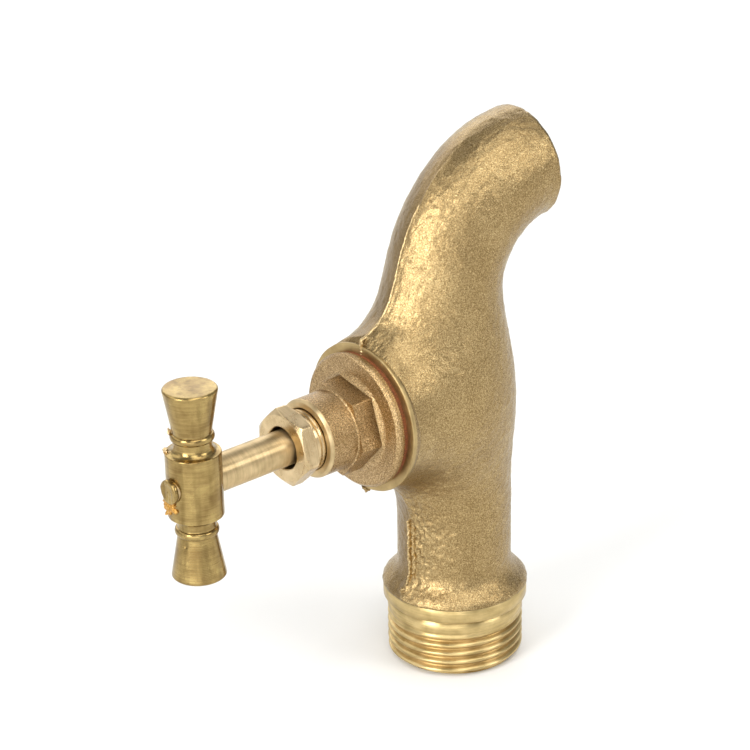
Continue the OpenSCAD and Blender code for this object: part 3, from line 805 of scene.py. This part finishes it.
def build_inlet():
    """The turned inlet end, with its bore: a helical thread whose groove is a power of a cosine
    and fades out under a plain belt, then an undercut and a smooth collar."""
    foot = [(0.3, INLET_BORE_R), (0.0, INLET_BORE_R + 0.3), (0.0, THREAD_R - 1.1)]
    heights = np.arange(THREAD_STEP, THREAD_TOP + 1.2, THREAD_STEP)
    crests = THREAD_R - LEAD_IN_R * np.maximum(0, 1 - heights / LEAD_IN_H)
    top = [(THREAD_TOP + 1.3, THREAD_R), (THREAD_END - 0.7, THREAD_R),
           (THREAD_END - 0.45, THREAD_R - UNDERCUT), (THREAD_END, THREAD_R - UNDERCUT),
           (THREAD_END, COLLAR_R - 0.25), (THREAD_END + 0.25, COLLAR_R), (BAND_TOP + 0.1, COLLAR_R),
           (BAND_TOP + 0.4, COLLAR_R - 0.4), (BAND_TOP + 0.4, 10.0), (BAND_TOP + 3, INLET_BORE_R)]
    profile = np.concatenate([rounded(foot, 0.1), np.stack([heights, crests], -1), top])
    height, crest_r = profile[:, :1], profile[:, 1:]
    phase = np.mod(height / THREAD_PITCH - full_turn(240) / (2 * np.pi), 1)
    groove = (0.5 - 0.5 * np.cos(2 * np.pi * phase)) ** 1.2
    outside = (crest_r > THREAD_R - 1.3) & (height > 0.01) & (height < THREAD_END - 0.2)
    fade = smooth((THREAD_TOP + 1.0 - height) / 2.2) * smooth((height + 0.2) / 0.6)
    depth = np.where(outside, THREAD_DEPTH * groove * fade, 0)
    points = revolved(height, crest_r - depth, about_inlet)

    def in_shaded_groove(middle):
        """Tells the faces at the bottom of the thread's groove, which get painted shade, by their
        radius and height.
        """
        radius = np.hypot(middle[:, 0], middle[:, 1])
        deep = (radius < THREAD_R - GROOVE_SHARE * THREAD_DEPTH) & (radius > THREAD_R - GROOVE_REACH)
        return deep & (middle[:, 2] < THREAD_TOP + 1)

    piece = make_piece("inlet_end", points, [chased_brass, groove_shade_brass], looped=True, choose=in_shaded_groove)
    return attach(piece, "housing")


def build_bonnet():
    """Flange, hexagon and neck as one revolved surface whose radius is cut by the hexagon, with
    the bores for the jumper, the spindle's thread, the stem, the packing and the gland nut."""
    blank_r = BONNET_HEX_R + 0.06
    corners = [(SKIRT_BACK, SKIRT_BORE_R), (SKIRT_BACK, SKIRT_R), (FLANGE_BACK, SKIRT_R),
               (FLANGE_BACK, FLANGE_R - 0.15), (FLANGE_BACK + 0.15, FLANGE_R),
               (FLANGE_FRONT - 0.55, FLANGE_R), (FLANGE_FRONT, FLANGE_R - 0.55),
               (FLANGE_FRONT + 0.12, 9.4), (FLANGE_FRONT + 0.4, blank_r), (BONNET_HEX_FRONT, blank_r),
               (BONNET_HEX_FRONT, BONNET_NECK_R + 0.2), (BONNET_HEX_FRONT + 0.2, BONNET_NECK_R),
               (NECK_FRONT - 0.5, BONNET_NECK_R), (NECK_FRONT, BONNET_NECK_R - 0.45),
               (NECK_FRONT, GLAND_BORE_R + 0.03), (NECK_FRONT - 0.1, GLAND_BORE_R - 0.06),
               (GLAND_SEAT, GLAND_BORE_R), (GLAND_SEAT, PACKING_BORE_R), (PACKING_FOOT, PACKING_BORE_R),
               (PACKING_FOOT, STEM_BORE_R), (STEM_STOP, STEM_BORE_R), (STEM_STOP, SCREW_BORE_R),
               (SKIRT_FLOOR, SCREW_BORE_R), (SKIRT_FLOOR, SKIRT_BORE_R)]
    profile = filled(rounded(corners, 0.12), 0.3)
    reach, profile_r = profile[:, :1], profile[:, 1:]
    outside = profile_r > BONNET_NECK_R + 0.15
    in_hexagon = (reach > FLANGE_FRONT + 0.2) & (reach < BONNET_HEX_FRONT + 0.01) & outside
    radius = cut_to_hexagon(profile_r, in_hexagon, full_turn(360), BONNET_FLATS, BONNET_TURN,
                            BONNET_HEX_R)
    points = revolved(reach, radius, about_spindle)
    piece = make_piece("bonnet_shell", points, [pressed_brass, lathe_brass_across], looped=True,
                       choose=lambda middle: -middle[:, 0] > TURNED_MOUTH)
    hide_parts("bonnet")
    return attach(piece, "housing")


def build_gland_nut():
    """A milled hexagon with a turned face and chamfer, on a shank whose thread is a triangle
    wave."""
    corners = [(SHANK_BACK, NUT_BORE_R), (SHANK_BACK, SHANK_R), (NUT_HEX_BACK, SHANK_R),
               (NUT_HEX_BACK, 6.4), (NUT_HEX_BACK + 0.5, 7.3), (NUT_FRONT - 0.65, 7.36),
               (NUT_FRONT, 6.25), (NUT_FRONT, 4.2), (NUT_FRONT - 0.25, NUT_BORE_R),
               (SHANK_BACK, NUT_BORE_R)]
    profile = filled(rounded(corners, 0.08), 0.25)[:-1]
    reach, profile_r = profile[:, :1], profile[:, 1:]
    angle = full_turn(360)
    in_hexagon = (reach > NUT_HEX_BACK - 0.01) & (profile_r > 6.2)
    radius = cut_to_hexagon(profile_r, in_hexagon, angle, NUT_FLATS, NUT_TURN, NUT_HEX_R)
    on_shank = (reach > SHANK_BACK + 0.1) & (reach < NUT_HEX_BACK - 0.25) & (profile_r > 5.5)
    phase = np.mod(reach / SHANK_PITCH + angle / (2 * np.pi), 1)
    radius = radius - np.where(on_shank, SHANK_DEPTH * (1 - np.abs(2 * phase - 1)), 0)
    points = revolved(reach, radius, about_spindle)
    piece = make_piece("gland_nut_body", points, [bright_brass], looped=True)
    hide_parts("gland_nut")
    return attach(piece, "housing")


def build_spindle():
    """Threaded foot with the jumper's socket, plain stem and the riveted end, whose edge and face
    random lumps leave uneven, as a hammer does."""
    screw_end = SPINDLE_FOOT + SCREW_L
    socket_floor = SPINDLE_FOOT + SOCKET_L
    corners = [(socket_floor, 0.0), (socket_floor, SOCKET_R), (SPINDLE_FOOT, SOCKET_R),
               (SPINDLE_FOOT, SCREW_R), (screw_end, SCREW_R), (screw_end, STEM_R), (STEM_END, STEM_R),
               (STEM_END, TENON_R), (TENON_END - 1.0, TENON_R), (TENON_END - 0.7, 2.2),
               (TENON_END - 0.15, 2.12), (TENON_END - 0.05, 1.7), (TENON_END - 0.2, 0.9),
               (TENON_END - 0.1, 0.0)]
    profile = filled(rounded(corners, 0.12), 0.25)
    points = turned(profile, 96, about_spindle)
    hammered = smooth((-points[..., :1] - TENON_END + HAMMERED_L) / 0.5)
    points = points + hammered * [0.0, 1.0, 1.0] * 0.12 * lumps(points, 0.8, 31)[..., None]
    points[..., 0] += hammered[..., 0] * (0.08 + 0.08 * lumps(points * [0, 1, 0.4], 0.4, 32))
    piece = make_piece("spindle_stem", points, [lathe_brass_across, lathe_brass_up],
                       choose=lambda middle: -middle[:, 0] > BAR_REACH + HUB_R)
    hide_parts("spindle")
    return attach(piece, "stem")


def build_crossbar():
    """Hub, hollow shoulders, round beads and cones, turned from one bar. The hollow of a shoulder
    is a quarter of an ellipse and the bead a half, and the lathe's tool left a nick on one cone."""
    cove = np.radians(np.linspace(0, 90, 9))
    dome = np.radians(np.linspace(0, 180, 13))
    shoulder = np.stack([HUB_HALF + SHOULDER_L * (1 - np.cos(cove)),
                         NECK_R + (HUB_R - NECK_R) * (1 - np.sin(cove))], -1)
    bead_foot = HUB_HALF + SHOULDER_L + NECK_L
    bead = np.stack([bead_foot + BEAD_W / 2 * (1 - np.cos(dome)),
                     NECK_R + (BEAD_R - NECK_R) * np.sin(dome)], -1)
    cone = [(BAR_HALF - 0.3, CONE_R), (BAR_HALF, CONE_R - 0.3), (BAR_HALF, 0.0)]
    half = np.concatenate([[(HUB_HALF - 0.25, HUB_R)], shoulder + [0, -0.04], bead, cone])
    corners = np.concatenate([half[::-1] * [-1, 1], half])
    profile = filled(rounded(corners, 0.1, 2), 0.4)
    place, profile_r = profile[:, :1], profile[:, 1:]
    angle = full_turn(160)
    across = profile_r * np.sin(angle - NICK_ANGLE)
    nick = ((place - NICK_PLACE) / NICK_R) ** 2 + (across / NICK_R) ** 2
    radius = profile_r - NICK_DEPTH * np.exp(-nick) * (np.cos(angle - NICK_ANGLE) > 0) * (profile_r > 1)
    points = revolved(place, radius, about_crossbar)
    piece = make_piece("crossbar_handle", points, [lathe_brass_up])
    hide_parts("crossbar")
    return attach(piece, "stem")


def build_crumb(name, place, size, seed, material, body):
    """A torn crumb of brass: a ball whose radius follows random lumps, squashed to its size."""
    polar, turn = np.meshgrid(np.linspace(0, np.pi, 30)[1:-1], full_turn(44), indexing="ij")
    ball = np.stack([np.sin(polar) * np.cos(turn), np.sin(polar) * np.sin(turn), np.cos(polar)], -1)
    radius = 0.75 + 0.5 * lumps(ball + 9, 0.5, seed) + 0.25 * lumps(ball + 9, 0.22, seed + 1)
    points = np.array(place) + ball * radius[..., None] * np.array(size)
    piece = make_piece(name, points, [material])
    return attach(piece, body)


build_casting()
build_boss_face()
build_inlet()
build_bonnet()
build_gland_nut()
build_spindle()
build_crossbar()
build_parting_fin("parting_fin_low", 0.02, 0.26, 420, 0.7, 0.25, broken_flash_brass)
build_parting_fin("parting_fin_beside", 0.04, 0.25, 420, 0.5, 0.7, broken_flash_brass, -1.0)
build_parting_fin("parting_fin_high", 0.84, 1.4, 800, 0.12, 0.6, broken_flash_brass)
for name, place, size, seed, material, body in [
        ("rivet_crumb_top", (-66.3, 0.8, 53.4), (0.9, 2.1, 1.4), 21, torn_brass, "stem"),
        ("rivet_crumb_low", (-66.0, 1.6, 51.9), (0.8, 1.7, 1.5), 27, torn_brass, "stem"),
        ("neck_crumb", (-64.8, 2.3, 66.4), (0.4, 0.4, 0.7), 23, bright_brass, "stem"),
        ("hub_crumb", (-65.2, 3.1, 62.4), (0.5, 0.5, 0.8), 25, bright_brass, "stem"),
        ("boss_crumb", (-22.4, -0.2, 42.2), (1.2, 0.8, 1.1), 36, sand_cast_brass, "housing"),
        ("collar_crumb", (-13.6, 0.1, 16.6), (0.8, 1.0, 0.9), 33, sand_cast_brass, "housing")]:
    build_crumb(name, place, size, seed, material, body)

# The CAD nodes that keep their own shape
KEPT = {"bonnet_gasket": gasket_fibre, "packing_ring_1": greased_packing,
        "packing_ring_2": greased_packing, "packing_ring_3": greased_packing,
        "gland_washer": lathe_brass_across, "jumper": lathe_brass_across,
        "jumper_washer": washer_rubber, "jumper_nut": bright_brass}
for node, material in KEPT.items():
    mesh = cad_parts[node].data
    mesh.materials.clear()
    mesh.materials.append(material)


# Studio

# In metres
FLOOR_HALF = 1.0
FLOOR_GAP = 0.0002
LAMP_DISTANCE = 1.5
# The room's brightness overhead, where the horizon's is 1
CEILING = 0.36
# The photograph's width in pixels and the sensor's in millimetres
IMAGE_WIDTH = 750
SENSOR_WIDTH = 36


def build_floor():
    """A white floor that shows as the white background and keeps the object's shadow."""
    material, tree = new_material("matte_white_paper")
    shader = add(tree, "BsdfPrincipled", Base_Color=linear("#eaeae8"), Roughness=0.8)
    add(tree, "OutputMaterial", Surface=shader.outputs[0])
    corners = [(-FLOOR_HALF, -FLOOR_HALF), (FLOOR_HALF, -FLOOR_HALF), (FLOOR_HALF, FLOOR_HALF),
               (-FLOOR_HALF, FLOOR_HALF)]
    mesh = bpy.data.meshes.new("floor")
    mesh.from_pydata([(x, y, -FLOOR_GAP) for x, y in corners], [], [(0, 1, 2, 3)])
    mesh.materials.append(material)
    floor = bpy.data.objects.new("floor", mesh)
    bpy.context.scene.collection.objects.link(floor)


def seen_from(azimuth, elevation):
    """The direction from the object to a viewer at an azimuth and elevation, in radians."""
    return np.array([np.sin(azimuth) * np.cos(elevation), -np.cos(azimuth) * np.cos(elevation),
                     np.sin(elevation)])


def build_lamp(name, azimuth, elevation, width, height, radiance):
    """A soft lamp that looks at the valve from an azimuth and elevation. Its power is its
    radiance times pi times its area."""
    back = seen_from(*np.radians([azimuth, elevation]))
    data = bpy.data.lights.new(name, "AREA")
    data.shape = "RECTANGLE"
    data.size = width
    data.size_y = height
    data.energy = radiance * np.pi * width * height
    lamp = bpy.data.objects.new(name, data)
    bpy.context.scene.collection.objects.link(lamp)
    lamp.location = (np.array([0, 0, VALVE_H * MM]) + back * LAMP_DISTANCE).tolist()
    lamp.rotation_euler = Vector(back.tolist()).to_track_quat("Z", "Y").to_euler()


def build_camera():
    """The camera that was fitted to the photograph: long lens, from the front left and above. It
    aims at a point 50 mm up the inlet's axis, is then moved sideways and up, and rolls a little."""
    azimuth, elevation, roll = np.radians([-40.95, 23.99, -1.14])
    aim = np.array([0, 0, 50])
    distance, focal_pixels, across, up = 468.4, 2467.0, -14.95, 7.23
    back = seen_from(azimuth, elevation)
    level_right = np.array([np.cos(azimuth), np.sin(azimuth), 0])
    level_up = np.cross(back, level_right)
    right = np.cos(roll) * level_right + np.sin(roll) * level_up
    upward = np.cos(roll) * level_up - np.sin(roll) * level_right
    place = aim + back * distance + right * across + upward * up
    data = bpy.data.cameras.new("camera")
    data.sensor_width = SENSOR_WIDTH
    data.lens = focal_pixels * SENSOR_WIDTH / IMAGE_WIDTH
    data.clip_start = 0.01
    camera = bpy.data.objects.new("camera", data)
    bpy.context.scene.collection.objects.link(camera)
    columns = np.stack([right, upward, back, place * MM], -1)
    camera.matrix_world = Matrix(columns.tolist() + [[0, 0, 0, 1]])
    bpy.context.scene.camera = camera


def build_world():
    """A grey room that is white along the horizon, the same for every kind of ray."""
    world = bpy.data.worlds.new("studio")
    bpy.context.scene.world = world
    world.use_nodes = True
    tree = world.node_tree
    tree.nodes.clear()
    way = add(tree, "TexCoord").outputs["Generated"]
    height = add(tree, "SeparateXYZ", Vector=way)
    shade = add(tree, "MapRange", interpolation_type="SMOOTHSTEP", Value=height.outputs["Z"],
                From_Min=0.08, From_Max=0.35, To_Min=1.0, To_Max=CEILING)
    room = add(tree, "Background", Color=(1, 1, 1, 1), Strength=shade.outputs[0])
    add(tree, "OutputWorld", Surface=room.outputs[0])


build_floor()
for name, azimuth, elevation, width, height, radiance in [
        ("left_softbox", -84, 30, 0.5, 0.75, 10.4),
        ("left_low_softbox", -84, 10, 0.6, 0.45, 3.0),
        ("left_panel", -50, 8, 1.2, 0.5, 2.3),
        ("right_softbox", 26, 33, 0.6, 0.6, 5.2),
        ("front_softbox", -32, 46, 0.65, 0.65, 3.0),
        ("front_top_softbox", -8, 63, 0.7, 0.55, 1.7),
        ("top_softbox", 30, 74, 0.95, 0.95, 2.0),
        ("back_softbox", 150, 28, 1.9, 0.8, 1.9),
        ("left_back_softbox", -140, 40, 1.2, 0.7, 1.5)]:
    build_lamp(name, azimuth, elevation, width, height, radiance)
build_camera()
build_world()
bpy.context.scene.view_settings.view_transform = "Standard"
